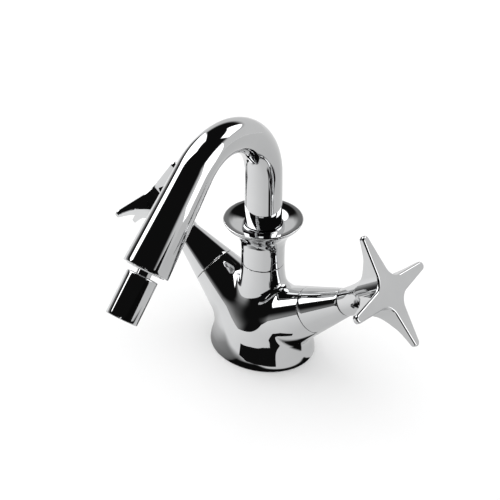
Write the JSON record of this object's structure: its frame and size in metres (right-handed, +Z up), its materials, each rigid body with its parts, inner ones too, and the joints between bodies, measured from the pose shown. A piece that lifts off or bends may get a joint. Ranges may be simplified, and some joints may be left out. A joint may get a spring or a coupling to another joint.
{
  "type": "two-handle single-hole bidet mixer tap",
  "caption": "Chrome single-hole mixer tap with cross handles on raised arms, a dished collar, a swivelling swan-neck spout and a ball-jointed aerator.",
  "frame": {"origin": "middle of the oval base's underside, on the deck", "axes": "+Z up from the deck, -Y the way the spout points at rest, +X towards the right (cold) handle seen by the user"},
  "size_m": [0.188, 0.138, 0.1432],
  "materials": {
    "chrome": "mirror-polished chrome plate over brass and zinc castings",
    "brass": "machined, unplated",
    "steel": "stainless, as made",
    "rubber": "matt black elastomer",
    "white_plastic": "moulded acetal, satin",
    "ceramic": "lapped alumina ceramic"
  },
  "bodies": {
    "root": {"body_casting": "chrome", "base_gasket": "rubber", "spout_collar": "chrome", "spout_bush": "white_plastic", "spout_locking_screw": "steel", "right_bonnet_cover": "chrome", "right_headwork_body": "brass", "right_headwork_oring": "rubber", "right_seat_seal": "rubber", "right_ceramic_disc_fixed": "ceramic", "left_bonnet_cover": "chrome", "left_headwork_body": "brass", "left_headwork_oring": "rubber", "left_seat_seal": "rubber", "left_ceramic_disc_fixed": "ceramic"},
    "spout": {"spout_tube": "chrome", "spout_oring_lower": "rubber", "spout_oring_upper": "rubber", "joint_nut": "chrome"},
    "ball_seat_ring": {"ball_seat": "white_plastic"},
    "aerator_head": {"ball_stem": "chrome", "aerator_housing": "chrome", "aerator_washer": "rubber", "aerator_screen": "steel", "aerator_insert": "white_plastic"},
    "right_valve": {"right_handle": "chrome", "right_handle_grub_screw": "steel", "right_spindle": "brass", "right_spindle_oring": "rubber", "right_spindle_clip": "steel", "right_ceramic_disc_moving": "ceramic"},
    "left_valve": {"left_handle": "chrome", "left_handle_grub_screw": "steel", "left_spindle": "brass", "left_spindle_oring": "rubber", "left_spindle_clip": "steel", "left_ceramic_disc_moving": "ceramic"}
  },
  "joints": [
    {"name": "spout_swivel", "type": "hinge", "parent": "root", "child": "spout", "pos_m": [0, 0, 0.0366], "axis": [0, 0, 1], "range_deg": [-60, 60]},
    {"name": "right_handle_turn", "type": "hinge", "parent": "root", "child": "right_valve", "pos_m": [0.07728, 0, 0.06679], "axis": [0.8178, 0, 0.5755], "range_deg": [-90, 0]},
    {"name": "left_handle_turn", "type": "hinge", "parent": "root", "child": "left_valve", "pos_m": [-0.07728, 0, 0.06679], "axis": [-0.8178, 0, 0.5755], "range_deg": [0, 90]},
    {"name": "aerator_spin", "type": "hinge", "parent": "spout", "child": "ball_seat_ring", "pos_m": [0, -0.08094, 0.09692], "axis": [0, -0.7071, -0.7071], "continuous": true},
    {"name": "aerator_tilt", "type": "hinge", "parent": "ball_seat_ring", "child": "aerator_head", "pos_m": [0, -0.08094, 0.09692], "axis": [1, 0, 0], "range_deg": [-15, 15]}
  ]
}
